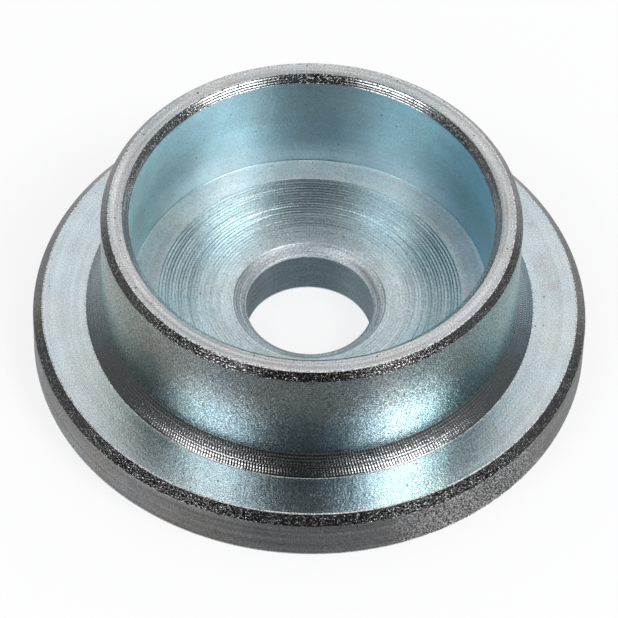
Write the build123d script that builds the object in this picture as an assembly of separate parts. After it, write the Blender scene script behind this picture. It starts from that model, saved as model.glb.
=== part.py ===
from build123d import *
import os

# Ring nut, turned from one piece of steel bar, in millimetres.
# It is a round cup on a wide flange, with a plain hole through its floor.
# The origin is the centre of the underside, and +Z runs up the axis to the cup's rim.

# Cup
cup_outer_d = 45.0      # outside of the cup's wall
wall_t = 3.05           # wall of the cup
cup_depth = 13.15       # from the ledge at the edge of the floor up to the rim
rim_outer_chamfer = 0.8
rim_inner_chamfer = 0.8

# Flange
flange_w = 7.5          # how far the flange stands out from the cup's wall
flange_t = 5.7
flange_chamfer = 1.0

# Sloping band at the foot of the wall, where it runs out into the flange
foot_w = 1.75
foot_h = 1.95
foot_fillet_r = 0.8     # nose of the tool that turned the flange's top

# Floor of the cup: a flat ledge all round, then a shallow dish that falls to the hole
floor_t = 7.15          # underside to the ledge
ledge_w = 2.45
ledge_blend_r = 6.0     # soft edge between the ledge and the dish
corner_r = 0.35         # where the ledge meets the wall
dish_drop = 1.1

# Hole with a coned lip
bore_d = 13.75
lip_w = 1.4
lip_drop = 0.85

# Radii and heights that follow from the sizes above
wall_r = cup_outer_d / 2
cup_r = wall_r - wall_t
flange_r = wall_r + flange_w
foot_r = wall_r + foot_w
ledge_r = cup_r - ledge_w
bore_r = bore_d / 2
lip_r = bore_r + lip_w
rim_z = floor_t + cup_depth
foot_z = flange_t + foot_h
dish_z = floor_t - dish_drop
bore_z = dish_z - lip_drop


def section():
    """Half of the nut's section, drawn in the XZ plane to the right of the axis."""
    foot = (foot_r, flange_t)
    ledge = (ledge_r, floor_t)
    corner = (cup_r, floor_t)
    outline = [
        (bore_r, 0),
        (flange_r, 0),
        (flange_r, flange_t - flange_chamfer),
        (flange_r - flange_chamfer, flange_t),
        foot,
        (wall_r, foot_z),
        (wall_r, rim_z - rim_outer_chamfer),
        (wall_r - rim_outer_chamfer, rim_z),
        (cup_r + rim_inner_chamfer, rim_z),
        (cup_r, rim_z - rim_inner_chamfer),
        corner,
        ledge,
        (lip_r, dish_z),
        (bore_r, bore_z),
    ]
    face = make_face(Polyline(*outline, close=True))
    for point, radius in ((foot, foot_fillet_r), (ledge, ledge_blend_r), (corner, corner_r)):
        face = fillet(face.vertices().sort_by_distance(point)[0], radius)
    return Plane.XZ * face


def ring_nut():
    """The whole nut: its section turned once about the axis."""
    return revolve(section(), Axis.Z)


os.makedirs("parts", exist_ok=True)
nut = ring_nut()
nut.label = "ring_nut"
export_step(nut, "parts/ring_nut.step")
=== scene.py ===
# %% [markdown]
# # A turned ring nut
#
# The nut is one piece of steel: a round cup on a wide flange, with a plain hole through its floor.
# It was cut on a lathe and zinc plated, and everything that makes it look real comes from those two facts.
# Each face carries the marks of the tool that cut it, and the bare metal shows the room around it.
# So the lesson has three parts: the room, the turned shape with its tool marks, and the metal.
#
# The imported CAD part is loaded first. It stands at height zero with its hole on the Z axis, in metres.
# What is made here is made in that place, so nothing has to be moved afterwards.

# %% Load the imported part
import bpy
import bmesh
import math
import random
from mathutils import Matrix, Vector
from types import SimpleNamespace


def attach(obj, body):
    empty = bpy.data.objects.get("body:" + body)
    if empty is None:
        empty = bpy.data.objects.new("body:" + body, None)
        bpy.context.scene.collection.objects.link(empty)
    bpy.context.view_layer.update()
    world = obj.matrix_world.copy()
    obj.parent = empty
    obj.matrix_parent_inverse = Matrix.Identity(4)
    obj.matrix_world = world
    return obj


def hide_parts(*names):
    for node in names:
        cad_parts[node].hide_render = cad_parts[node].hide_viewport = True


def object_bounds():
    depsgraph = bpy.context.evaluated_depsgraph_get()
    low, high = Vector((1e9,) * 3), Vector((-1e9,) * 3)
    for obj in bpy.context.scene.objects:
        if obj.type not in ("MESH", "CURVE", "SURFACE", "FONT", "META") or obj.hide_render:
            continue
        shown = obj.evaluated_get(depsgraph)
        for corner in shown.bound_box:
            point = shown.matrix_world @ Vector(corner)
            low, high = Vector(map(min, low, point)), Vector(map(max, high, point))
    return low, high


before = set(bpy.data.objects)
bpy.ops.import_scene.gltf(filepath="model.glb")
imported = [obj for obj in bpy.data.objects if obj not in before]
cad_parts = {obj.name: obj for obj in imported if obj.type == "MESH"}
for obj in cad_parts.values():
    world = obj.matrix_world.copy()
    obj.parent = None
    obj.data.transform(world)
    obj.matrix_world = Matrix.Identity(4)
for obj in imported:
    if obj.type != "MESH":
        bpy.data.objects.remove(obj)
cad_low, cad_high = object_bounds()
MM = 0.001
flange_r = cad_high.x
rim_z = cad_high.z
print("flange radius", round(flange_r / MM, 2), "mm, height", round(rim_z / MM, 2), "mm")

# %% [markdown]
# ## The camera
#
# The photograph was taken with a long lens from about 50 degrees above the table. Circles on the nut show as
# ellipses about three quarters as high as they are wide, and the far side of the flange is hardly smaller
# than the near side. A long lens a little over half a metre away gives that.
#
# A Track To constraint could aim the camera, but the picture is also turned a little about its own middle.
# That is easier to say with three arrows, right, up and forward, than with angles.

# %% Camera directions
CAMERA_ELEVATION = math.radians(50.013)
CAMERA_ROLL = math.radians(1.57)

forward = Vector((0, math.cos(CAMERA_ELEVATION), -math.sin(CAMERA_ELEVATION)))
level_right = Vector((1, 0, 0))
level_up = level_right.cross(forward)
right = level_right * math.cos(CAMERA_ROLL) + level_up * math.sin(CAMERA_ROLL)
up = level_up * math.cos(CAMERA_ROLL) - level_right * math.sin(CAMERA_ROLL)
print("camera looks along", [round(v, 3) for v in forward])

# %% Camera
CAMERA_DISTANCE = 18.253 * flange_r
AIM_RIGHT = 0.0013 * flange_r      # where the picture's middle is, from the middle of the flange's underside
AIM_UP = 0.0970 * flange_r
LENS = 291.7
SENSOR = 36.0
NEAREST = 0.01
FARTHEST = 20.0

camera_data = bpy.data.cameras.new("camera")
camera_data.lens = LENS
camera_data.sensor_width = SENSOR
camera_data.clip_start = NEAREST
camera_data.clip_end = FARTHEST
camera = bpy.data.objects.new("camera", camera_data)
bpy.context.scene.collection.objects.link(camera)
turn = Matrix((right, up, -forward)).transposed()
eye = right * AIM_RIGHT + up * AIM_UP - forward * CAMERA_DISTANCE
camera.matrix_world = Matrix.Translation(eye) @ turn.to_4x4()
bpy.context.scene.camera = camera
bpy.context.scene.view_settings.view_transform = "Standard"
print("camera at", [round(v, 3) for v in eye])

# %% [markdown]
# ## The white room
#
# Polished metal has hardly any colour of its own. It shows the room, so the room is half of the picture.
# Walls could be modelled, but a white world is white from every side and takes no time to render.
# The light that it throws on matt things is weaker than the white that the camera and the metal see.
# So the background stays white, and the paper under the nut still takes its shadow.
# The Light Path node tells those rays apart.
#
# Worlds and materials are nets of nodes. A helper adds a node, fills in its values and joins it to others
# in one line, which keeps the lesson short.

# %% Node helper
class Nodes:
    """Adds nodes to a tree, emptied first. An input is a value or the output of another node."""

    def __init__(self, tree):
        tree.nodes.clear()
        self.tree = tree

    def add(self, kind, inputs=None, **settings):
        node = self.tree.nodes.new(kind)
        for name, value in settings.items():
            setattr(node, name, value)
        for name, value in (inputs or {}).items():
            if isinstance(value, bpy.types.NodeSocket):
                self.tree.links.new(value, node.inputs[name])
            else:
                node.inputs[name].default_value = value
        return node

    def math(self, operation, a, b=0.0, c=0.0):
        return self.add("ShaderNodeMath", {0: a, 1: b, 2: c}, operation=operation).outputs[0]

    def mapped(self, value, low, high, to_low, to_high, curve="LINEAR"):
        """Stretches the range from low to high over another range and cuts what falls outside."""
        ranges = {"Value": value, "From Min": low, "From Max": high, "To Min": to_low, "To Max": to_high}
        return self.add("ShaderNodeMapRange", ranges, interpolation_type=curve).outputs[0]


# %% World
ROOM_LIGHT = 0.75       # how strong the room is on matt things, where 1 is white
WHITE = (1, 1, 1, 1)


def seen_by_camera_or_metal(nodes):
    """1 for rays from the camera, off shiny things and through glass, and 0 for what lights matt ones."""
    ray = nodes.add("ShaderNodeLightPath").outputs
    seen = nodes.math("MAXIMUM", ray["Is Camera Ray"], ray["Is Glossy Ray"])
    return nodes.math("MAXIMUM", seen, ray["Is Transmission Ray"])


world = bpy.data.worlds.new("room")
bpy.context.scene.world = world
world.use_nodes = True
nodes = Nodes(world.node_tree)
strength = nodes.mapped(seen_by_camera_or_metal(nodes), 0.0, 1.0, ROOM_LIGHT, 1.0)
white = nodes.add("ShaderNodeBackground", {"Color": WHITE, "Strength": strength})
nodes.add("ShaderNodeOutputWorld", {"Surface": white.outputs[0]})
print("room light on matt things", ROOM_LIGHT)

# %% [markdown]
# ## The floor
#
# The photograph is cut out on white, so here the nut lies on white paper that goes on past the picture.
# A plain matt sheet would look grey where little light falls on it. So most of what the camera and the metal
# see of it is an even white glow, and the rest is matt paper, which takes the nut's shadow.
#
# From below the sheet is clear, so that the nut's underside can be looked at. It lies a hair lower than
# the nut, because two faces in one place flicker.

# %% Paper
FLOOR_COLOUR = (0.86, 0.865, 0.87, 1)
FLOOR_GLOW = 0.75       # how much of the floor is even white to the camera and the metal


def material(name):
    """A new material that is made of nodes."""
    made = bpy.data.materials.new(name)
    made.use_nodes = True
    return made


paper = material("white_paper")
nodes = Nodes(paper.node_tree)
matt = nodes.add("ShaderNodeBsdfDiffuse", {"Color": FLOOR_COLOUR})
glow = nodes.add("ShaderNodeEmission", {"Color": WHITE, "Strength": 1.0})
share = nodes.math("MULTIPLY", seen_by_camera_or_metal(nodes), FLOOR_GLOW)
both = nodes.add("ShaderNodeMixShader", {0: share, 1: matt.outputs[0], 2: glow.outputs[0]})
from_below = nodes.add("ShaderNodeNewGeometry").outputs["Backfacing"]
clear = nodes.add("ShaderNodeBsdfTransparent", {"Color": WHITE})
sheet = nodes.add("ShaderNodeMixShader", {0: from_below, 1: both.outputs[0], 2: clear.outputs[0]})
nodes.add("ShaderNodeOutputMaterial", {"Surface": sheet.outputs[0]})
print("share of the floor that glows", FLOOR_GLOW)

# %% Floor
FLOOR_RADIUS = 4.0
FLOOR_DROP = 0.03 * MM
DISC_SIDES = 96


def new_object(name, bm, *materials):
    """Turns a bmesh into an object at the origin."""
    mesh = bpy.data.meshes.new(name)
    bm.to_mesh(mesh)
    bm.free()
    for m in materials:
        mesh.materials.append(m)
    made = bpy.data.objects.new(name, mesh)
    bpy.context.scene.collection.objects.link(made)
    return made


def disc(radius, height):
    """A flat round sheet that faces up."""
    bm = bmesh.new()
    bmesh.ops.create_circle(bm, cap_ends=True, segments=DISC_SIDES, radius=radius)
    bmesh.ops.translate(bm, verts=bm.verts, vec=(0, 0, height))
    return bm


floor = new_object("floor", disc(FLOOR_RADIUS, -FLOOR_DROP), paper)
print("floor", FLOOR_RADIUS * 2, "m across")

# %% [markdown]
# ## The cards
#
# In a room that is all white, a metal cup would be white all over. The dark bands that give it its shape
# are dark things around it: the photographer's own side of the room, and cards that stand beside the nut.
# Each is built here as a bent card, a patch of a ball round the nut between two compass angles and
# two heights. Compass angle zero is the camera's side, and angles grow to the right.
#
# A flat plane for each card would leave gaps at the corners. A bent one is made by spinning an upright arc
# about the vertical axis, and bent cards meet edge to edge. They stand further off than the camera, which
# doesn't see them anyway, and they throw neither light nor shadow on the floor. They only show in the metal.

# %% Card helpers
CARD_DISTANCE = 1.5
CARD_STEP = math.radians(3)


def glowing(nodes, strength):
    """Ends a material as an even glow."""
    light = nodes.add("ShaderNodeEmission", {"Color": WHITE, "Strength": strength})
    nodes.add("ShaderNodeOutputMaterial", {"Surface": light.outputs[0]})


def only_for_metal(card_object):
    """Hides a card from the camera and from matt things, and makes it cast no shadow."""
    card_object.visible_camera = False
    card_object.visible_diffuse = False
    card_object.visible_shadow = False


def card(name, turn_range, height_range, brightness):
    """A bent card between two compass angles and two heights in degrees. Brightness 1 is white."""
    start, end = [math.radians(v) for v in turn_range]
    low, high = [math.radians(v) for v in height_range]
    rows = math.ceil((high - low) / CARD_STEP)
    bm = bmesh.new()
    arc = []
    for i in range(rows + 1):
        e = low + (high - low) * i / rows
        arc.append(bm.verts.new((0, -CARD_DISTANCE * math.cos(e), CARD_DISTANCE * math.sin(e))))
    edges = [bm.edges.new(pair) for pair in zip(arc, arc[1:])]
    bmesh.ops.rotate(bm, verts=arc, cent=(0, 0, 0), matrix=Matrix.Rotation(start, 3, "Z"))
    bmesh.ops.spin(bm, geom=arc + edges, cent=(0, 0, 0), axis=(0, 0, 1), angle=end - start,
                   steps=max(1, math.ceil((end - start) / CARD_STEP)))
    skin = material(name)
    glowing(Nodes(skin.node_tree), brightness)
    only_for_metal(new_object(name, bm, skin))


print("a card stands", CARD_DISTANCE, "m away, the camera", round(CAMERA_DISTANCE, 2), "m")

# %% Cards
# Each line is a name, two compass angles, two heights and a brightness. Those in pairs stand right and left.
card("camera_side_card", (-28, 28), (0, 80), 0.03)
for name, (near, far), heights, brightness in (
        ("side_card", (77, 126), (0, 36), 0.15),
        ("high_side_card", (77, 115), (36, 66), 0.04),
        ("low_card", (28, 77), (0, 43), 0.10),
        ("back_card", (126, 152), (0, 22), 0.35)):
    card("right_" + name, (near, far), heights, brightness)
    card("left_" + name, (-far, -near), heights, brightness)
card("ceiling_card", (-180, 180), (66, 89), 0.25)

# %% [markdown]
# ## The card on the table
#
# Seen from above, an upright metal wall mirrors the table in front of it. In the photograph the flange's side
# goes from dark at the front to pale at the sides, so the table was dark in front of the nut and paler
# beside and behind it, with two small pale pools left and right of the front.
#
# The floor itself is white to the eye, so a glowing disc just above it stands for that table, and only the
# metal sees it. Its glow is painted light and shade: dark in front of the nut and under its hole, a painted
# shadow, paler beside and behind, with two painted pools of light. Its brightness is worked out from the
# compass angle, with soft ramps. Several small cards would do too, but each would show in the metal with an
# edge.

# %% Table card
TABLE_CARD_RADIUS = 0.5
TABLE_CARD_LIFT = 0.2 * MM
TABLE_FRONT = 0.05
TABLE_SIDE = 0.43
TABLE_BACK = 0.80
# Painted shade and light: the card is dark in front of the nut and in a painted shadow under its hole, with
# two painted pools of light.
TABLE_DARKEST = 0.20       # nothing on the card is darker than this
HOLE_SHADOW_RADIUS = 10 * MM     # inside this radius the card is at its darkest
FRONT_TO_SIDE = (math.radians(8), math.radians(60))
SIDE_TO_BACK = (math.radians(90), math.radians(170))
POOLS = ((math.radians(30), 0.16), (math.radians(-30), 0.06))
POOL_REACH = math.radians(18)

table_skin = material("table_light_and_shade_card")
nodes = Nodes(table_skin.node_tree)
place = nodes.add("ShaderNodeTexCoord").outputs["Object"]
side = nodes.add("ShaderNodeSeparateXYZ", {"Vector": place}).outputs
turned = nodes.math("ARCTAN2", side["X"], nodes.math("MULTIPLY", side["Y"], -1.0))
# Two painted pools of light, left and right of the front.
pools = 0.0
for pool_turn, pool_light in POOLS:
    off = nodes.math("ABSOLUTE", nodes.math("SUBTRACT", turned, pool_turn))
    pools = nodes.math("ADD", nodes.mapped(off, 0.0, POOL_REACH, pool_light, 0.0, "SMOOTHSTEP"), pools)
turned = nodes.math("ABSOLUTE", turned)
level = nodes.mapped(turned, *FRONT_TO_SIDE, TABLE_FRONT, TABLE_SIDE, "SMOOTHSTEP")
back = nodes.mapped(turned, *SIDE_TO_BACK, 0.0, TABLE_BACK - TABLE_SIDE, "SMOOTHSTEP")
level = nodes.math("ADD", nodes.math("ADD", level, back), pools)
from_axis = nodes.add("ShaderNodeVectorMath", {0: place}, operation="LENGTH").outputs["Value"]
level = nodes.math("MULTIPLY", level, nodes.math("GREATER_THAN", from_axis, HOLE_SHADOW_RADIUS))
glowing(nodes, nodes.math("MAXIMUM", level, TABLE_DARKEST))
only_for_metal(new_object("table_light_and_shade_card", disc(TABLE_CARD_RADIUS, TABLE_CARD_LIFT), table_skin))
print("table card", TABLE_CARD_RADIUS * 2, "m across")

# %% [markdown]
# ## The soft boxes
#
# A photographer lights such a piece with two soft boxes, lamps behind white cloth, left and right of
# the camera and high up. In the metal they show as two broad bright bands. An area lamp is such a box.
# A point lamp would light the nut too, but it would show in the metal as a hard spot.
#
# Blender takes a lamp's power, while the metal shows how bright its face is. So the power is worked out
# from the brightness and the size of the face, and a box can get wider without getting dimmer.

# %% Soft boxes
BOX_DISTANCE = 1.0
BOX_HEIGHT = 0.28
BOX_ELEVATION = math.radians(51)


def soft_box(name, turn, width, radiance):
    """An area lamp that looks at the nut from a compass angle. Radiance says how bright its face is."""
    lamp = bpy.data.lights.new(name, "AREA")
    lamp.shape = "RECTANGLE"
    lamp.size = width
    lamp.size_y = BOX_HEIGHT
    lamp.energy = radiance * width * BOX_HEIGHT * math.pi
    made = bpy.data.objects.new(name, lamp)
    bpy.context.scene.collection.objects.link(made)
    a = math.radians(turn)
    level = math.cos(BOX_ELEVATION)
    toward = Vector((math.sin(a) * level, -math.cos(a) * level, math.sin(BOX_ELEVATION)))
    made.location = toward * BOX_DISTANCE
    made.rotation_euler = made.location.to_track_quat("Z", "Y").to_euler()
    made.visible_camera = False
    print(name, round(lamp.energy, 2), "W")


soft_box("right_soft_box", turn=56, width=0.38, radiance=10.0)
soft_box("left_soft_box", turn=-53, width=0.40, radiance=4.7)

# %% [markdown]
# ## The section
#
# A turned piece is one outline, its section, taken once round the axis. The CAD model has that shape already,
# with smooth faces. It could be kept and given bump, but the tool's marks decide how the real piece shines,
# and the deeper ones need faces of their own. So the nut is turned again here, with those marks in its mesh.
#
# Its sizes are those of the CAD source, apart from two inside corners, FOOT_FILLET and CORNER_FILLET.
# They are tighter, because the photograph shows crisp lines there. A point of the section is a radius
# and a height. The walk goes from the hole's lower edge up over the floor, the wall and the rim,
# and down to the flange.

# %% Sizes of the section
WALL_R = 22.5 * MM
CUP_R = 19.45 * MM
BORE_R = 6.875 * MM
FLANGE_T = 5.7 * MM
FLANGE_CHAMFER = 1.0 * MM
RIM_CHAMFER = 0.8 * MM
FOOT_W = 1.75 * MM
FOOT_H = 1.95 * MM
FOOT_FILLET = 0.25 * MM
LEDGE_W = 2.45 * MM
LEDGE_Z = 7.15 * MM
LEDGE_FILLET = 6.0 * MM
CORNER_FILLET = 0.12 * MM
LIP_W = 1.4 * MM
LIP_Z = 6.05 * MM
BORE_Z = 5.2 * MM
print("wall", round((WALL_R - CUP_R) / MM, 2), "mm thick, cup", round((rim_z - LEDGE_Z) / MM, 2), "mm deep")

# %% Corners of the section
bore_low = Vector((BORE_R, 0))
bore_high = Vector((BORE_R, BORE_Z))
lip_high = Vector((BORE_R + LIP_W, LIP_Z))
ledge_in = Vector((CUP_R - LEDGE_W, LEDGE_Z))
cup_corner = Vector((CUP_R, LEDGE_Z))
mouth_low = Vector((CUP_R, rim_z - RIM_CHAMFER))
mouth_high = Vector((CUP_R + RIM_CHAMFER, rim_z))
rim_out = Vector((WALL_R - RIM_CHAMFER, rim_z))
wall_high = Vector((WALL_R, rim_z - RIM_CHAMFER))
wall_low = Vector((WALL_R, FLANGE_T + FOOT_H))
foot = Vector((WALL_R + FOOT_W, FLANGE_T))
top_out = Vector((flange_r - FLANGE_CHAMFER, FLANGE_T))
side_high = Vector((flange_r, FLANGE_T - FLANGE_CHAMFER))
side_low = Vector((flange_r, 0))
print("flange top", round((top_out.x - foot.x) / MM, 2), "mm wide")

# %% Rounded corners
FOOT_STEPS = 5
CORNER_STEPS = 4
LEDGE_STEPS = 4


def fillet(before, tip, after, radius, steps):
    """Points of the arc that rounds a corner of the section."""
    u = (before - tip).normalized()
    v = (after - tip).normalized()
    half = u.angle(v) / 2
    centre = tip + (u + v).normalized() * (radius / math.sin(half))
    first = tip + u * (radius / math.tan(half)) - centre
    last = tip + v * (radius / math.tan(half)) - centre
    sweep = first.angle_signed(last)
    return [centre + Matrix.Rotation(-sweep * i / steps, 2) @ first for i in range(steps + 1)]


foot_arc = fillet(wall_low, foot, top_out, FOOT_FILLET, FOOT_STEPS)
corner_arc = fillet(ledge_in, cup_corner, mouth_low, CORNER_FILLET, CORNER_STEPS)
ledge_arc = fillet(lip_high, ledge_in, cup_corner, LEDGE_FILLET, LEDGE_STEPS)
print("ledge arc", [tuple(round(v / MM, 2) for v in q) for q in ledge_arc])

# %% [markdown]
# ## The rings that the tool left
#
# A lathe's tool moves on a little with each turn of the work, and leaves a fine V groove each time, one feed
# apart. In the dish the feed was coarse and the rings catch the light one by one, more so further out.
# A displacement texture could cut them, but it needs far more faces than they do. In the section a ring
# is just two more points, a crest and a valley.
#
# No two rings are alike, so the place and depth of each is rolled with a seeded dice, which falls the same
# way on every run. The section is kept as stretches, each with the name of its finish, because the tool
# ran in, out or along each of them in its own way.

# %% Grooves
VALLEY_PLACE = (0.35, 0.65)     # where a groove's valley lies along the feed
CREST_DROP = (0.0, 0.25)        # how far a crest lies under the line, as a share of the depth
VALLEY_DROP = (0.75, 1.3)       # and how far a valley does
DICE_SEED = 11
dice = random.Random(DICE_SEED)


def grooves(a, b, feed, depth, last_depth=None):
    """From a to b in V grooves one feed apart, cut into the metal. The depth may change along the way."""
    along = b - a
    inward = Vector((along.y, -along.x)).normalized()
    count = max(1, round(along.length / feed))
    change = 0.0 if last_depth is None else last_depth - depth
    points = []
    for i in range(count):
        valley = dice.uniform(*VALLEY_PLACE)
        crest_drop = 0.0 if i == 0 else dice.uniform(*CREST_DROP)
        cut = depth + change * i / count
        points.append(a + along * (i / count) + inward * cut * crest_drop)
        points.append(a + along * ((i + valley) / count) + inward * cut * dice.uniform(*VALLEY_DROP))
    return points + [b]


# %% Stretches inside the cup
FINE_FEED = 0.30 * MM
LIP_GROOVE = 0.026 * MM
DISH_FEED = 0.357 * MM
DISH_GROOVE = 0.016 * MM
DISH_OUTER_GROOVE = 0.052 * MM
LEDGE_FEED = 0.67 * MM
LEDGE_GROOVE = 0.006 * MM

stretches = [
    ("bore", [bore_low, bore_low.lerp(bore_high, 0.5), bore_high]),
    ("lip", grooves(bore_high, lip_high, FINE_FEED, LIP_GROOVE)),
    ("dish", grooves(lip_high, ledge_arc[0], DISH_FEED, DISH_GROOVE, DISH_OUTER_GROOVE)),
    ("ledge", ledge_arc + grooves(ledge_arc[-1], corner_arc[0], LEDGE_FEED, LEDGE_GROOVE)[1:]),
    ("inner_wall", corner_arc),
]
print("rings in the dish", len(stretches[2][1]) // 2)

# %% Stretches of the rim
MOUTH_GROOVE = 0.019 * MM

stretches += [
    ("mouth_edge", grooves(mouth_low, mouth_high, FINE_FEED, MOUTH_GROOVE)),
    ("rim", grooves(mouth_high, rim_out, FINE_FEED, LEDGE_GROOVE)),
    ("rim_edge", grooves(rim_out, wall_high, FINE_FEED, LEDGE_GROOVE)),
]
print("rings on the rim", len(stretches[-2][1]) // 2)

# %% [markdown]
# ## The band at the foot of the wall
#
# Where the cup meets the flange, a narrow slope leads from the wall to the flange's top. The tool came down
# it in small bites, so it has seven tiers, each with a valley near its upper edge. The slope as a whole
# is a little hollow, because the tool's nose is round.
#
# It could be a straight line with a noise on it, but the tiers are even and mirror the lamps as clean rings.
# So they are laid out by a loop, from the wall down to the small round at the flange.

# %% Tiers of the band
BAND_TIERS = 7
TIER_VALLEY = 0.3      # how far down each tier its valley lies
TIER_DEPTH = 0.030 * MM
BAND_SAG = 0.04 * MM   # how far the middle of the slope lies under a straight line

band_end = foot_arc[0]
band_line = band_end - wall_low
band_out = Vector((-band_line.y, band_line.x)).normalized()
band = [wall_low]
for tier in range(BAND_TIERS):
    for share, depth in ((TIER_VALLEY, TIER_DEPTH), (1.0, 0.0)):
        t = (tier + share) / BAND_TIERS
        sag = 4 * BAND_SAG * t * (1 - t)
        band.append(wall_low + band_line * t - band_out * (depth + sag))
print("a tier is", round(band_line.length / BAND_TIERS / MM, 2), "mm high")

# %% Stretches of the outside
# From this point of the arc the round at the foot gets the pale corner colour, partly wear and partly a
# painted highlight.
WORN_HIGHLIT_FROM = 3          # the arc's point from which the round at the foot is worn bright

stretches += [
    ("outer_wall", [wall_high, wall_low]),
    ("band", band),
    ("band", foot_arc[:WORN_HIGHLIT_FROM + 1]),
    ("worn_highlit_corner", foot_arc[WORN_HIGHLIT_FROM:]),
    ("flange_top", grooves(foot_arc[-1], top_out, LEDGE_FEED, LEDGE_GROOVE / 2)),
    ("flange_edge", [top_out, side_high]),
    ("flange_side", [side_high, side_low]),
]
print("rows", sum(len(points) - 1 for _, points in stretches))

# %% [markdown]
# ## Spinning the section
#
# A stretch is a chain of edges in the plane of the section, and bmesh.ops.spin sweeps it round the axis.
# A Screw modifier would do that too, but here each stretch gets its finish as it is made.
# Hundreds of small steps over many points are slow, so a chain is swept over a twentieth of a turn, and
# a second spin copies that sector round the axis. That takes a fortieth of the time.
#
# The outside is larger than the inside and gets more steps, so that faces are about a quarter of
# a millimetre long where the nut is widest, outside and in. Then the seams are merged.

# %% Spin
FINE_STEPS = 720
COARSE_STEPS = 480
SECTORS = 20
SAME_PLACE = 0.001 * MM
AXIS = Vector((0, 0, 1))
COARSE_FINISHES = {"bore", "lip", "dish", "ledge", "inner_wall"}
FINISHES = ["bore", "lip", "dish", "ledge", "inner_wall", "mouth_edge", "rim", "rim_edge", "outer_wall",
            "band", "flange_top", "flange_edge", "flange_side", "underside", "worn_highlit_corner"]


def spin_chain(bm, points, steps, finish):
    """Sweeps a chain of points over one sector, copies the sector round the axis, and adds it to the nut."""
    part = bmesh.new()
    chain = [part.verts.new((0, -q.x, q.y)) for q in points]
    edges = [part.edges.new(pair) for pair in zip(chain, chain[1:])]
    bmesh.ops.spin(part, geom=chain + edges, cent=(0, 0, 0), axis=AXIS, angle=math.tau / SECTORS,
                   steps=steps // SECTORS)
    for face in part.faces:
        face.material_index = FINISHES.index(finish)
    sector = part.verts[:] + part.edges[:] + part.faces[:]
    bmesh.ops.spin(part, geom=sector, cent=(0, 0, 0), axis=AXIS, angle=math.tau, steps=SECTORS,
                   use_duplicate=True, use_merge=True)
    mesh = bpy.data.meshes.new(finish)
    part.to_mesh(mesh)
    part.free()
    bm.from_mesh(mesh)
    bpy.data.meshes.remove(mesh)


nut = bmesh.new()
for finish, points in stretches:
    spin_chain(nut, points, COARSE_STEPS if finish in COARSE_FINISHES else FINE_STEPS, finish)
bmesh.ops.remove_doubles(nut, verts=nut.verts, dist=SAME_PLACE)
print("spun", len(nut.faces), "faces")

# %% [markdown]
# ## Closing the nut
#
# The tall inner wall and the underside have no grooves, so each is a single row of faces. It joins a ring
# of 480 edges on the inside to one of 720 on the outside, which a spin can't do. Bridge takes two rings
# of any number of edges. After that every edge has two faces, and the normals can be turned outwards.

# %% Bridge the inner wall and the underside
def ring(bm, point):
    """The edges of the mesh that run round the axis through a point of the section."""
    def on_ring(v):
        return abs(v.co.z - point.y) < SAME_PLACE and abs(v.co.xy.length - point.x) < SAME_PLACE
    return [e for e in bm.edges if on_ring(e.verts[0]) and on_ring(e.verts[1])]


def bridge(bm, first, last, finish):
    """One row of faces between two rings."""
    for face in bmesh.ops.bridge_loops(bm, edges=ring(bm, first) + ring(bm, last))["faces"]:
        face.material_index = FINISHES.index(finish)


bridge(nut, corner_arc[-1], mouth_low, "inner_wall")
bridge(nut, side_low, bore_low, "underside")
bmesh.ops.recalc_face_normals(nut, faces=nut.faces)
print("nut", len(nut.faces), "faces,", sum(len(e.link_faces) != 2 for e in nut.edges), "open edges")

# %% [markdown]
# ## Broken corners
#
# No turned corner is perfectly sharp: the tool or a file takes a hair off it, and that catches the light.
# A bevel shader could fake it, but the exported model would lose it. So the rings of edges at the corners
# are bevelled, with one row of faces each. Where the tops of the rim and the flange meet their outer
# chamfers, the corner is worn wider and paler. The paler colour is partly wear and partly a painted
# highlight.

# %% Break the corners
CORNER_BREAK = 0.05 * MM
WORN_BREAK = 0.09 * MM


def break_corner(bm, point, width, finish=None):
    """Bevels the ring of edges at a point of the section. The new faces may get a finish of their own."""
    made = bmesh.ops.bevel(bm, geom=ring(bm, point), offset=width, offset_type="OFFSET", segments=1,
                           profile=0.5, affect="EDGES", material=-1)
    if finish:
        for face in made["faces"]:
            face.material_index = FINISHES.index(finish)


for point in (bore_low, bore_high, mouth_low, mouth_high, wall_high, side_high, side_low):
    break_corner(nut, point, CORNER_BREAK)
break_corner(nut, wall_low, CORNER_BREAK, "outer_wall")
for point in (rim_out, top_out):
    break_corner(nut, point, WORN_BREAK, "worn_highlit_corner")
print("after the corners", len(nut.faces), "faces")

# %% [markdown]
# ## Smooth round the axis, sharp across it
#
# The walls have to look round, so all faces are shaded smooth. But the crests and valleys of the grooves
# are real edges, and smoothing would wipe them out. An edge stays sharp when its faces meet at more than
# 0.9 degrees, a little over the angle between two steps of the spin. The three rounds of the section
# are smooth as well. A Weighted Normal modifier would guess this, and here it is known.

# %% Smooth and sharp edges
SHARP_ANGLE = math.radians(0.9)


def on_grid(r, z):
    """A radius and a height as whole thousandths of a millimetre, so that they can be compared."""
    return round(r / SAME_PLACE), round(z / SAME_PLACE)


soft_points = {on_grid(q.x, q.y) for q in foot_arc + corner_arc + ledge_arc}
for face in nut.faces:
    face.smooth = True
for e in nut.edges:
    rounded = all(on_grid(v.co.xy.length, v.co.z) in soft_points for v in e.verts)
    e.smooth = rounded or e.calc_face_angle(0) < SHARP_ANGLE
bmesh.ops.recalc_face_normals(nut, faces=nut.faces)
triangles = sum(len(f.verts) - 2 for f in nut.faces)
print("nut", triangles, "triangles,", sum(len(e.link_faces) != 2 for e in nut.edges), "open edges, volume",
      round(nut.calc_volume() / MM ** 3), "mm3")

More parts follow.
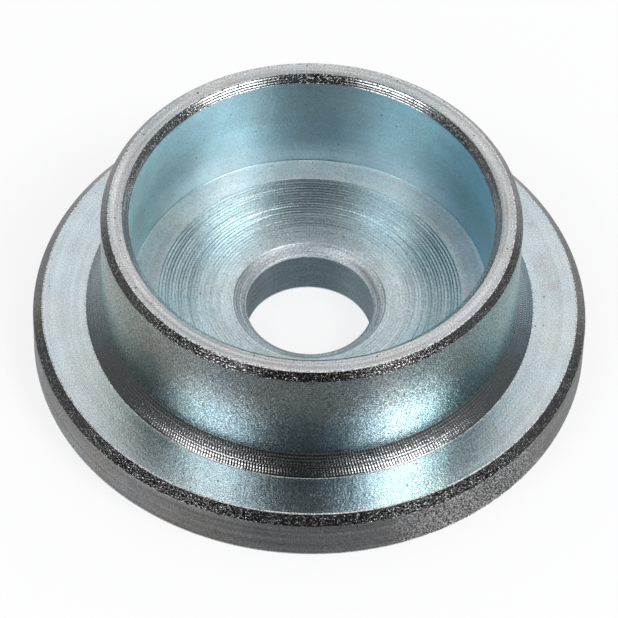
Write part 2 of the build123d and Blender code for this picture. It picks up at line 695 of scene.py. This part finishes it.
# %% [markdown]
# ## The metal
#
# All the finishes are the same zinc plated steel, a blue-white metal. They differ in how the tool left them.
# So one function makes them all, and each finish is a line of settings for it. It is built up in steps:
# where a point is, the marks on it, the colours that it can take, and the shader.
#
# Every pattern reads Object coordinates, so it stays on the metal from any side. A turned piece is easiest
# to describe by radius, height and heading, which is the way that a point looks out from the axis.

# %% Where a point is
PER_MM = 1 / MM


def point_on_nut(nodes):
    """The place, radius and height of the point, and its heading: X to the right, Y away from the camera."""
    spot = SimpleNamespace()
    spot.place = nodes.add("ShaderNodeTexCoord").outputs["Object"]
    flat = nodes.add("ShaderNodeVectorMath", {0: spot.place, 1: (1, 1, 0)}, operation="MULTIPLY").outputs[0]
    spot.radius = nodes.add("ShaderNodeVectorMath", {0: flat}, operation="LENGTH").outputs["Value"]
    outward = nodes.add("ShaderNodeVectorMath", {0: flat}, operation="NORMALIZE").outputs[0]
    spot.heading = nodes.add("ShaderNodeSeparateXYZ", {"Vector": outward}).outputs
    spot.height = nodes.add("ShaderNodeSeparateXYZ", {"Vector": spot.place}).outputs["Z"]
    return spot


print("patterns are scaled by", round(PER_MM), "so that they count in mm")

# %% [markdown]
# ## Lines, grain and pits
#
# Between the rings of the mesh the tool left lines that are too fine to model. They are noise that reads
# the radius and the height in full, and the heading only a little, so a line changes slowly on its way round.
# The heading goes in as two numbers, the third and fourth direction of a 4D noise, so lines close up
# after a full turn. A Wave texture makes rings too, but they are too even for a tool's.
#
# The plating adds a sandy grain, soft clouds and a film of colour, each a noise at its own scale.
# Small dark pits come from a Voronoi texture: the middles of some cells, those with a high random number.

# %% Marks
COARSE_LINES = 2.2      # scales, in patches per mm
FINE_LINES = 5.0
SPECKLE = 5.0
GRIT = 6.5
CLOUD = 0.35
FILM = 0.14
PITS = 1.1
WANDER = 0.5            # how much the lines change on their way round
PITTED = (0.4, 1.0)     # the random numbers of the cells that have a pit
PIT_SIZE = 0.17         # the largest pit and the soft edge of each, in cells
PIT_EDGE = 0.05


def noise(nodes, vector, scale, detail):
    return nodes.add("ShaderNodeTexNoise", {"Vector": vector, "Scale": scale, "Detail": detail}).outputs[0]


def add_marks(nodes, spot):
    """Adds the lines, grains, clouds and pits to what is known of a point."""
    across = nodes.add("ShaderNodeCombineXYZ", {
        "X": nodes.math("MULTIPLY", spot.radius, PER_MM),
        "Y": nodes.math("MULTIPLY", spot.height, PER_MM),
        "Z": nodes.math("MULTIPLY", spot.heading["X"], WANDER)}).outputs[0]
    drift = nodes.math("MULTIPLY", spot.heading["Y"], WANDER)
    spot.coarse_lines, spot.fine_lines = [
        nodes.add("ShaderNodeTexNoise", {"Vector": across, "W": drift, "Scale": scale, "Detail": 1.0},
                  noise_dimensions="4D").outputs[0] for scale in (COARSE_LINES, FINE_LINES)]
    spot.speckle = noise(nodes, spot.place, SPECKLE * PER_MM, 2.0)
    spot.grit = noise(nodes, spot.place, GRIT * PER_MM, 1.0)
    spot.cloud = noise(nodes, spot.place, CLOUD * PER_MM, 3.0)
    spot.film = noise(nodes, spot.place, FILM * PER_MM, 2.0)
    cells = nodes.add("ShaderNodeTexVoronoi", {"Vector": spot.place, "Scale": PITS * PER_MM})
    luck = nodes.add("ShaderNodeSeparateColor", {"Color": cells.outputs["Color"]}).outputs[0]
    reach = nodes.mapped(luck, *PITTED, 0.0, PIT_SIZE)
    depth = nodes.math("SUBTRACT", reach, cells.outputs["Distance"])
    spot.pit = nodes.mapped(depth, 0.0, PIT_EDGE, 0.0, 1.0)


print("coarse lines about", round(1 / COARSE_LINES, 2), "mm apart")
print("pits up to", round(2 * PIT_SIZE / PITS, 2), "mm wide")

# %% [markdown]
# ## Chatter round the band
#
# A tool that is pushed into a corner starts to sing, and each pass leaves a row of small scallops.
# There are about 460 in each of three rows. As mesh they would take thousands of faces a row, and they
# wouldn't show in the outline, because each is only a third of a millimetre wide. So they are bump.
#
# A scallop is a parabola: the angle round the axis is counted in marks, and what is left after each whole
# mark, squared, is a hollow between two sharp cusps. The rows drift against each other, and the marks
# die out where two passes meet.

# %% Chatter
CHATTER_MARKS = 460
CHATTER_PASSES = 3
CHATTER_MORE = 3         # each pass has this many marks more than the one above
CHATTER_SHIFT = -0.25    # and starts this share of a mark later
CHATTER_LEAN = 1.0       # how many marks a cusp leans over on its way down the band
CHATTER_BLEND = 0.08     # the share of a pass over which its marks die out
LAST_PASS_END = 0.001    # keeps the band's lowest point in the last pass


def chatter(nodes, spot):
    """The hollows of the chatter marks, and their strength: 0 where two passes meet, and 1 elsewhere."""
    angle = nodes.math("ARCTAN2", spot.heading["X"], nodes.math("MULTIPLY", spot.heading["Y"], -1.0))
    turns = nodes.math("DIVIDE", angle, math.tau)
    down = nodes.mapped(spot.height, wall_low.y, band_end.y, 0.0, 1.0)
    number = nodes.math("FLOOR", nodes.math("MULTIPLY", down, CHATTER_PASSES - LAST_PASS_END))
    shift = nodes.math("MULTIPLY", number, nodes.math("MULTIPLY_ADD", turns, CHATTER_MORE, CHATTER_SHIFT))
    shift = nodes.math("MULTIPLY_ADD", down, -CHATTER_LEAN, shift)
    marks = nodes.math("MULTIPLY_ADD", turns, CHATTER_MARKS, shift)
    off_middle = nodes.math("MULTIPLY_ADD", nodes.math("FRACT", marks), 2.0, -1.0)
    scallops = nodes.math("MULTIPLY", off_middle, off_middle)
    to_next_pass = nodes.math("PINGPONG", nodes.math("MULTIPLY", down, CHATTER_PASSES), 0.5)
    return scallops, nodes.mapped(to_next_pass, 0.0, CHATTER_BLEND, 0.0, 1.0)


print("chatter marks", round(math.tau * foot.x / CHATTER_MARKS / MM, 2), "mm apart at the foot")

# %% [markdown]
# ## Torn metal and painted glints
#
# On the outer chamfers and on the right of the flange's side, the tool tore the steel instead of cutting it.
# Such a patch is a mass of dark specks with bright flecks between them. The bright flecks are painted glints:
# grains whose colour is made several times paler, on the camera's half only. The grit is already there, so
# a patch only needs more contrast, between two headings and fading out at both ends.
# A picture could be painted for it, but it would blur close up, and the grit stays sharp.

# %% Torn patches
TORN_FADE = 0.15         # in heading, at each end of a patch
TORN_GRIT = (0.49, 0.61)
TORN_DARK = -0.80


def torn_patches_and_glints(nodes, spot, ranges, glint_gain):
    """How much darker torn metal is, and how much brighter its painted glints are. Ranges are pairs of
    heading X, on the camera's half.
    """
    inside = 0.0
    for low, high in ranges:
        patch = nodes.math("MULTIPLY", nodes.mapped(spot.heading["X"], low, low + TORN_FADE, 0.0, 1.0),
                           nodes.mapped(spot.heading["X"], high - TORN_FADE, high, 1.0, 0.0))
        inside = nodes.math("MAXIMUM", patch, inside)
    inside = nodes.math("MULTIPLY", inside, nodes.math("LESS_THAN", spot.heading["Y"], 0.0))
    # Painted glints: the brightest grains are made several times paler in the colour.
    torn_and_glints = nodes.mapped(spot.grit, *TORN_GRIT, TORN_DARK, glint_gain)
    return nodes.math("MULTIPLY_ADD", torn_and_glints, inside, 1.0)


print("a torn patch fades over about", round(math.degrees(TORN_FADE)), "degrees at the front")

# %% [markdown]
# ## Relief and shade
#
# The marks work in two ways. As relief they bend the highlights, through one Bump node. As shade they
# make the colour lighter or darker, which is what is left of a mark when no lamp catches it. The cusps of
# the chatter are darkened this way too, but that is painted shade, strongest towards the front.
# Each finish says how strong its lines, sand, mottle, pits and sparks are. Sparks are single grains that
# stand up out of a chamfer and flash. The numbers here are the shares that the marks have of each other.
#
# Displacement would be truer than bump, but for marks a few hundredths of a millimetre high it would need
# millions of faces.

# %% Relief and shade
RELIEF = 0.01 * MM             # the height that 1 stands for
COARSE_LINE_HEIGHT = 2.0
FINE_LINE_HEIGHT = 1.0
SAND_HEIGHT = 3.2
CLOUD_HEIGHT = 3.0
PIT_HEIGHT = -2.5
SPARK_HEIGHT = 8.0
SPARK_GRAINS = (0.58, 0.76)    # only the tops of the speckle become sparks
CHATTER_HEIGHT = 1.35
NOISE_SPAN = (0.3, 0.7)        # nearly all of a noise lies between these
SCALLOP_SPAN = (0.25, 0.8)     # from the flat of a scallop to its cusp
# Painted shade: the cusps are darkened in the colour, most towards the front and less at the sides.
CUSP_SHADE = (0.25, 0.70)      # cusps are darkest towards the front, and paler past these headings
CUSP_HEADING = (0.62, 0.88)
PIT_SHADE = -0.75
MOTTLE_DARK = 0.35
MOTTLE_PALE = 0.28
LINES_DARK = 0.15
LINES_PALE = 0.13
CLOUD_SHADE = (0.93, 1.06)


def relief(nodes, spot, lines, sand, pits, sparks, scallops, fade):
    """The height of all marks together, as a normal."""
    total = nodes.math("MULTIPLY", spot.coarse_lines, COARSE_LINE_HEIGHT * lines)
    for mark, height in ((spot.fine_lines, FINE_LINE_HEIGHT * lines), (spot.speckle, SAND_HEIGHT * sand),
                         (spot.cloud, CLOUD_HEIGHT), (spot.pit, PIT_HEIGHT * pits)):
        total = nodes.math("MULTIPLY_ADD", mark, height, total)
    if sparks:
        grains = nodes.mapped(spot.speckle, *SPARK_GRAINS, 0.0, SPARK_HEIGHT * sparks)
        total = nodes.math("ADD", grains, total)
    if scallops:
        total = nodes.math("MULTIPLY_ADD", nodes.math("MULTIPLY", scallops, fade), CHATTER_HEIGHT, total)
    return nodes.add("ShaderNodeBump", {"Height": total, "Strength": 1.0, "Distance": RELIEF}).outputs[0]


def shade(nodes, spot, lines, mottle, pits, scallops):
    """How light or dark the marks leave a point, where 1 is no change."""
    layers = [nodes.mapped(spot.grit, *NOISE_SPAN, 1 - MOTTLE_DARK * mottle, 1 + MOTTLE_PALE * mottle),
              nodes.mapped(spot.cloud, *NOISE_SPAN, *CLOUD_SHADE),
              nodes.mapped(spot.coarse_lines, *NOISE_SPAN, 1 - LINES_DARK * lines, 1 + LINES_PALE * lines)]
    if scallops:
        sideways = nodes.math("ABSOLUTE", spot.heading["X"])
        cusp = nodes.mapped(sideways, *CUSP_HEADING, *CUSP_SHADE)
        layers.append(nodes.mapped(scallops, *SCALLOP_SPAN, 1.0, cusp))
    layers.append(nodes.math("MULTIPLY_ADD", spot.pit, PIT_SHADE * pits, 1.0))
    total = 1.0
    for layer in layers:
        total = nodes.math("MULTIPLY", total, layer)
    return total


print("sand stands up to", round(SAND_HEIGHT * RELIEF / MM, 3), "mm high")

# %% [markdown]
# ## Colours, with painted light and shade, round the nut
#
# Zinc plating is never one even colour. In the photograph it shifts between bluish and warm, and it is
# darker on one side of a wall than on the other. That paler and darker tone from side to side is painted
# light
# and shade: a face is made paler or darker by heading, as the lamps and the dark room fall on it. A finish
# gets a few colours with the heading at which each belongs, and a Color Ramp blends them round the nut.
# Vertex colours could hold this too, but a ramp is easier to read and to change.
#
# The stain on the flange's right side is a few blots of a dull brown. Each fades out from its middle, and
# the cloud and the speckle fray its edge.

# %% Colour helpers
STAIN_COLOUR = (0.46, 0.40, 0.39, 1)
STAIN_FRAY = 9.0         # how much the cloud and the speckle push a blot's edge about
STAIN_GRAIN = 3.0
STAIN_FALL = 3.6         # how fast a blot fades towards its reach
STAIN_EDGE = (3.4, 5.0)


def mixed(nodes, factor, a, b, blend_type="MIX"):
    """A colour between a and b, or one times the other."""
    colours = {"Factor": factor, "A": a, "B": b}
    return nodes.add("ShaderNodeMix", colours, data_type="RGBA", blend_type=blend_type).outputs[2]


def compass_colour_and_shade(nodes, heading, tints_and_shade):
    """A colour that changes round the nut, with the painted light and shade that some finishes carry.
    Tints_and_shade are pairs of heading X and colour, from left to right.
    """
    ramp = nodes.add("ShaderNodeValToRGB", {"Fac": nodes.math("MULTIPLY_ADD", heading["X"], 0.5, 0.5)})
    ramp.color_ramp.interpolation = "EASE"
    stops = ramp.color_ramp.elements
    for stop, (x, colour) in zip(stops, (tints_and_shade[0], tints_and_shade[-1])):
        stop.position = x * 0.5 + 0.5
        stop.color = (*colour, 1)
    for x, colour in tints_and_shade[1:-1]:
        stops.new(x * 0.5 + 0.5).color = (*colour, 1)
    return ramp.outputs["Color"]


def stained(nodes, spot, tint_and_shade, stains):
    """Blots on a colour. Each has its middle, its reach in mm and how strong it is."""
    for middle, reach_mm, strong in stains:
        off = nodes.add("ShaderNodeVectorMath", {0: spot.place, 1: middle}, operation="DISTANCE")
        blot = nodes.math("MULTIPLY", off.outputs["Value"], -STAIN_FALL * PER_MM / reach_mm)
        blot = nodes.math("MULTIPLY_ADD", spot.speckle, STAIN_GRAIN, blot)
        blot = nodes.math("MULTIPLY_ADD", spot.cloud, STAIN_FRAY, blot)
        tint_and_shade = mixed(nodes, nodes.mapped(blot, *STAIN_EDGE, 0.0, strong), tint_and_shade, STAIN_COLOUR)
    return tint_and_shade


def even(*colour):
    """The same colour on every side."""
    return [(-1, colour), (1, colour)]


print("an even tint is", even(0.6, 0.6, 0.6))

# %% [markdown]
# ## The steel
#
# Now the parts come together in one Principled shader, fully metallic. The lathe's lines run round the axis,
# so a highlight spreads across them. Anisotropic does that, with a Tangent that runs round Z and a quarter
# turn of rotation. Roughness wavers a little with the speckle. A Glossy shader could shine like this too,
# but the Principled one is what other programs understand after an export.

# %% Turned steel
WARM_FILM = (1.03, 1.0, 0.98, 1)
COOL_FILM = (0.965, 1.0, 1.02, 1)
FILM_SPAN = (0.35, 0.65)
LOW_PART = (11.0 * MM, 15.0 * MM)      # the heights between which low_shade_tint gives way
OUTER_PART = (10.0 * MM, 13.5 * MM)    # the radii between which outer_tints_and_shade take over
ACROSS_LINES = 0.25
ROUGHNESS_SPREAD = 0.06


def turned_steel(name, tints_and_shade, roughness, anisotropy, lines, sand, mottle, pits, sparks=0.0, torn_glint_ranges=(),
                 torn_glint_gain=1.0, low_shade_tint=None, outer_tints_and_shade=None, stains=(), chattered=False):
    """Plated steel as a tool left it.

    Tints_and_shade go round the nut by heading, and outer_tints_and_shade do so on the outer part of the
    dish.
    Both may hold painted light and shade as well as the plating's colour. Low_shade_tint is multiplied in on
    the lower part of a wall, as painted shade. Lines, sand, mottle, pits and sparks say how strong each kind
    of mark is. Torn_glint_ranges, stains and chattered add the marks that only some faces have. The torn
    patches carry painted glints.
    """
    made = material(name)
    nodes = Nodes(made.node_tree)
    spot = point_on_nut(nodes)
    add_marks(nodes, spot)
    scallops, fade = chatter(nodes, spot) if chattered else (None, None)
    bumps = relief(nodes, spot, lines, sand, pits, sparks, scallops, fade)
    light = shade(nodes, spot, lines, mottle, pits, scallops)
    if torn_glint_ranges:
        light = nodes.math("MULTIPLY", light, torn_patches_and_glints(nodes, spot, torn_glint_ranges, torn_glint_gain))

    # The colour round the nut, with the painted light and shade of some finishes.
    tint_and_shade = compass_colour_and_shade(nodes, spot.heading, tints_and_shade)
    # Painted light and shade on the outer part of the dish.
    if outer_tints_and_shade:
        outer = compass_colour_and_shade(nodes, spot.heading, outer_tints_and_shade)
        tint_and_shade = mixed(nodes, nodes.mapped(spot.radius, *OUTER_PART, 0.0, 1.0), tint_and_shade, outer)
    # Painted shade: the lower part of a wall is made darker, and bluer on the outer wall.
    if low_shade_tint:
        low = mixed(nodes, 1.0, tint_and_shade, (*low_shade_tint, 1), "MULTIPLY")
        tint_and_shade = mixed(nodes, nodes.mapped(spot.height, *LOW_PART, 1.0, 0.0), tint_and_shade, low)
    film = mixed(nodes, nodes.mapped(spot.film, *FILM_SPAN, 0.0, 1.0), WARM_FILM, COOL_FILM)
    tint_and_shade = stained(nodes, spot, mixed(nodes, 1.0, tint_and_shade, film, "MULTIPLY"), stains)
    grey = nodes.add("ShaderNodeCombineColor", {0: light, 1: light, 2: light}).outputs[0]

    spread = ROUGHNESS_SPREAD * mottle
    steel = nodes.add("ShaderNodeBsdfPrincipled", {
        "Base Color": mixed(nodes, 1.0, tint_and_shade, grey, "MULTIPLY"), "Metallic": 1.0,
        "Roughness": nodes.mapped(spot.speckle, *NOISE_SPAN, roughness - spread, roughness + spread),
        "Anisotropic": anisotropy, "Anisotropic Rotation": ACROSS_LINES,
        "Tangent": nodes.add("ShaderNodeTangent", direction_type="RADIAL", axis="Z").outputs[0],
        "Normal": bumps})
    nodes.add("ShaderNodeOutputMaterial", {"Surface": steel.outputs[0]})
    print(name, len(made.node_tree.nodes), "nodes")
    return made


# %% [markdown]
# ## Finishes inside the cup
#
# The hole is smooth, and painted paler and bluer at its sides. The lip is coarse and matt. The dish shines in
# broad fans, so its roughness is lower, and the ledge round it is almost matt again. The outer dish, the
# ledge and the inner wall are painted paler at some headings and darker at others, as light and shade. The
# inner wall is the bluest face, with the faintest lines. Each could be its own net of nodes, but settings
# side by side are easier to compare.

# %% Hole, lip and dish
# Painted light and shade: the hole is made paler and bluer towards its sides, most on the right, and darker
# in the middle.
BORE_TINTS_AND_SHADE = [(-0.8, (0.59, 0.73, 0.79)), (-0.4, (0.45, 0.58, 0.64)), (0.3, (0.45, 0.58, 0.64)),
              (0.7, (0.66, 0.84, 0.92))]
# Painted light and shade: the dish's outer part is made paler at two headings left and right of the middle,
# and darker towards both sides, most on the right.
DISH_OUTER_TINTS_AND_SHADE = [(-1, (0.45, 0.57, 0.61)), (-0.9, (0.50, 0.61, 0.66)), (-0.6, (0.70, 0.78, 0.80)),
                    (0, (0.52, 0.63, 0.67)), (0.5, (0.64, 0.75, 0.79)), (0.72, (0.58, 0.70, 0.74)),
                    (0.9, (0.34, 0.48, 0.54)), (1, (0.40, 0.51, 0.55))]

finish_of = {
    "bore": turned_steel("bore_finish", BORE_TINTS_AND_SHADE, roughness=0.36, anisotropy=0.7, lines=0.8, sand=0.8,
                         mottle=0.8, pits=0.4),
    "lip": turned_steel("lip_finish", even(0.64, 0.69, 0.715), roughness=0.54, anisotropy=0.2, lines=2.0,
                        sand=1.2, mottle=0.9, pits=0.5),
    "dish": turned_steel("dish_finish", even(0.58, 0.67, 0.70), roughness=0.31, anisotropy=0.6, lines=0.8,
                         sand=1.0, mottle=0.8, pits=0.5, outer_tints_and_shade=DISH_OUTER_TINTS_AND_SHADE),
}

# %% Ledge and inner wall
# Painted light and shade: the ledge is made paler half way to each side, as painted highlights, and darker
# towards the sides.
LEDGE_TINTS_AND_SHADE = [(-0.97, (0.66, 0.70, 0.72)), (-0.8, (0.80, 0.84, 0.86)), (-0.5, (0.94, 0.95, 0.96)),
               (0, (0.84, 0.88, 0.90)), (0.5, (0.93, 0.95, 0.96)), (0.8, (0.78, 0.82, 0.84)),
               (0.95, (0.76, 0.80, 0.82))]
# Painted light and shade: the inner wall is made paler towards the left and darker towards the right.
INNER_WALL_TINTS_AND_SHADE = [(-0.97, (0.69, 0.95, 0.97)), (-0.5, (0.56, 0.76, 0.81)), (0.6, (0.47, 0.69, 0.78)),
                    (0.97, (0.375, 0.71, 0.87))]

finish_of["ledge"] = turned_steel("ledge_finish", LEDGE_TINTS_AND_SHADE, roughness=0.54, anisotropy=0.1, lines=0.4,
                                  sand=0.6, mottle=0.5, pits=0.5)
finish_of["inner_wall"] = turned_steel("inner_wall_finish", INNER_WALL_TINTS_AND_SHADE, roughness=0.34, anisotropy=0.8,
                                       lines=0.25, sand=0.6, mottle=0.5, pits=0.8,
                                       # painted shade: the foot of the inner wall is made a little darker
                                       low_shade_tint=(0.93, 0.93, 0.95))

# %% [markdown]
# ## Finishes of the rim
#
# The rim is three narrow rings. The flat top is greyer than the walls, with strong lines and pits.
# The chamfer at the mouth is smooth and mirrors the lamps as thin bright arcs, so its roughness is low.
# The outer chamfer is nearly black, because it mirrors the dark side of the room, and white flecks of torn
# metal stand out in it. They are partly painted glints, a noise in the colour, and partly relief, which
# makes them flash.

# %% Rim
finish_of["mouth_edge"] = turned_steel("mouth_edge_finish", even(0.48, 0.51, 0.52), roughness=0.18,
                                       anisotropy=0.3, lines=1.4, sand=0.3, mottle=1.0, pits=0.6, sparks=0.4)
finish_of["rim"] = turned_steel("rim_finish", even(0.60, 0.62, 0.63), roughness=0.42, anisotropy=0.3,
                                lines=2.2, sand=1.3, mottle=1.0, pits=1.2)
finish_of["rim_edge"] = turned_steel("rim_edge_finish", even(0.33, 0.335, 0.34), roughness=0.17,
                                     anisotropy=0.2, lines=0.5, sand=0.5, mottle=0.9, pits=0.6, sparks=1.2,
                                     torn_glint_ranges=((-0.80, 0.75),), torn_glint_gain=2.0)

# %% [markdown]
# ## Finishes of the outer wall and the band
#
# The wall is sandy and takes the lamps as two soft columns of light, painted darker and bluer near its foot.
# The band below it is dark, and its chatter marks flash where the lamps stand, between cusps that are painted
# dark, most towards the front. Its colours follow the photograph round from side to side, painted paler and
# bluer at the sides. A gradient by height could tell the two apart, but the line between them is sharp on the
# real nut, and here it is, because the finish changes with the face.

# %% Outer wall and band
OUTER_WALL_TINTS = [(-0.95, (0.53, 0.58, 0.53)), (-0.3, (0.52, 0.58, 0.60)), (0.3, (0.51, 0.59, 0.61)),
                    (0.95, (0.435, 0.61, 0.60))]
# Painted light and shade: the band is made paler and bluer at the sides and darker towards the front.
BAND_TINTS_AND_SHADE = [(-1, (0.52, 0.62, 0.67)), (-0.87, (0.43, 0.46, 0.48)), (-0.7, (0.35, 0.37, 0.38)),
              (-0.45, (0.42, 0.44, 0.45)), (0, (0.37, 0.39, 0.39)), (0.5, (0.47, 0.50, 0.52)),
              (0.7, (0.54, 0.56, 0.57)), (0.87, (0.50, 0.53, 0.54)), (1, (0.52, 0.65, 0.73))]

finish_of["outer_wall"] = turned_steel("outer_wall_finish", OUTER_WALL_TINTS, roughness=0.20, anisotropy=0.8,
                                       lines=0.3, sand=1.1, mottle=2.0, pits=0.8,
                                       # painted shade: the foot of the outer wall is made darker and bluer
                                       low_shade_tint=(0.79, 0.91, 0.955))
finish_of["band"] = turned_steel("band_finish", BAND_TINTS_AND_SHADE, roughness=0.16, anisotropy=0.2, lines=0.3,
                                 sand=0.4, mottle=0.6, pits=0.3, chattered=True)

# %% [markdown]
# ## Finishes of the flange
#
# The flange's top is smooth, with a satin shine and a small stain at the right. Its chamfer is dark and torn,
# like the rim's, with painted glints. Its side is greyer, rougher and more streaked than the rest, painted
# paler and darker round the nut as light and shade, with torn metal and painted glints on its right. The
# stain could be painted on an image, but a few blots, each at a compass angle and a radius, can be moved by
# changing a number.

# %% Flange
def on_flange(turn, r):
    """A point on the flange's top at a compass angle and a radius in mm."""
    a = math.radians(turn)
    return math.sin(a) * r * MM, -math.cos(a) * r * MM, FLANGE_T


FLANGE_STAINS = [(on_flange(96.5, 26.7), 1.9, 0.45), (on_flange(101, 26.4), 1.9, 0.35),
                 (on_flange(105.5, 26.2), 1.6, 0.35), (on_flange(116.5, 26.9), 1.2, 0.5)]
# Painted light and shade: the flange's side is made paler on the left and darker at the front and towards the
# right.
FLANGE_SIDE_TINTS_AND_SHADE = [(-0.97, (0.63, 0.63, 0.63)), (-0.4, (0.65, 0.65, 0.65)), (0, (0.50, 0.51, 0.52)),
                     (0.26, (0.49, 0.50, 0.51)), (0.5, (0.60, 0.60, 0.61)), (0.7, (0.45, 0.45, 0.46)),
                     (0.97, (0.52, 0.52, 0.52))]

finish_of["flange_top"] = turned_steel("flange_top_finish", even(0.60, 0.67, 0.70), roughness=0.26,
                                       anisotropy=0.7, lines=0.5, sand=0.6, mottle=0.7, pits=0.7,
                                       stains=FLANGE_STAINS)
finish_of["flange_edge"] = turned_steel("flange_edge_finish", even(0.30, 0.305, 0.31), roughness=0.17,
                                        anisotropy=0.2, lines=0.4, sand=0.4, mottle=0.9, pits=0.4, sparks=1.0,
                                        torn_glint_ranges=((-0.80, -0.10), (0.06, 0.80)), torn_glint_gain=2.6)
finish_of["flange_side"] = turned_steel("flange_side_finish", FLANGE_SIDE_TINTS_AND_SHADE, roughness=0.42,
                                        anisotropy=0.8, lines=1.5, sand=1.6, mottle=1.2, pits=0.3,
                                        torn_glint_ranges=((0.30, 0.85),), torn_glint_gain=2.8)

# %% [markdown]
# ## Underside and worn corners
#
# The photograph doesn't show the underside. It could get the finish of the flange's top, but a face that
# is parted off is a little rougher, so it has its own, with clearer lines.
# The worn corners are pale, rough and uneven: a thread of light along the rim and the flange, broken up
# by the grain. The pale colour is partly wear and partly a painted highlight. An even bright line there
# would look drawn on.

# %% Underside and worn corners
finish_of["underside"] = turned_steel("underside_finish", even(0.56, 0.62, 0.65), roughness=0.38,
                                      anisotropy=0.8, lines=0.8, sand=0.5, mottle=0.5, pits=0.5)
# Partly wear, partly painted highlight: a pale colour that draws a thread of light along the corners.
finish_of["worn_highlit_corner"] = turned_steel("worn_highlit_corner_finish", even(0.80, 0.82, 0.83), roughness=0.60,
                                        anisotropy=0.0, lines=0.5, sand=2.2, mottle=2.4, pits=0.8)

# %% [markdown]
# ## The finished nut
#
# The mesh becomes one object with all its finishes, and its faces already say which one is theirs.
# It could be split into an object for each finish, but the real nut is one piece, and one closed mesh has
# no gaps. It rides on the only body and stands for the CAD solid, which is hidden.

# %% The nut
turned_nut = new_object("turned_nut", nut, *[finish_of[name] for name in FINISHES])
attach(turned_nut, "root")
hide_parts("ring_nut")
print("turned_nut has", len(turned_nut.data.materials), "finishes")
